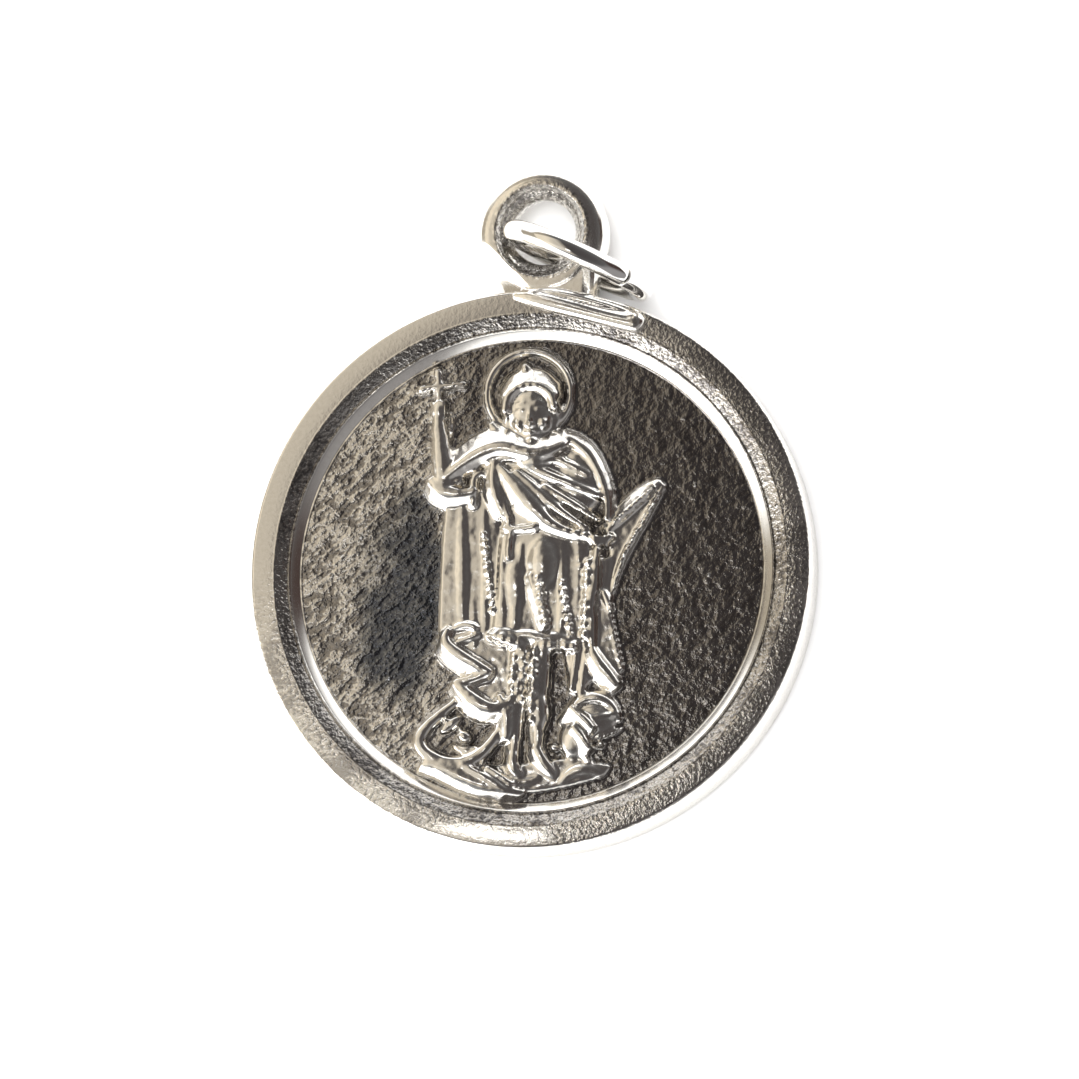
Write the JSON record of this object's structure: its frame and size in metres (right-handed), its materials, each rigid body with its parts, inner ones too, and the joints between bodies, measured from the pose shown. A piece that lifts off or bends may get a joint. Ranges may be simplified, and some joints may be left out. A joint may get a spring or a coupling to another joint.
{
  "type": "religious medal pendant",
  "caption": "Round cast devotional medal with a raised robed saint, a rimmed face, an eye at the top and a split jump ring through it, lying on its back.",
  "frame": {"origin": "centre of the disc's flat back face, on the surface that the medal lies on", "axes": "+Z out of the figure's face, +Y up the figure to the eye, +X to the viewer's right"},
  "size_m": [0.02, 0.0243, 0.0057],
  "materials": {
    "silver_plate": "bright silver plating on a grainy cast field, darker in the recesses",
    "ring_wire": "polished silver-plated wire"
  },
  "bodies": {
    "root": {"medal": "silver_plate", "jump_ring": "ring_wire"}
  },
  "joints": []
}
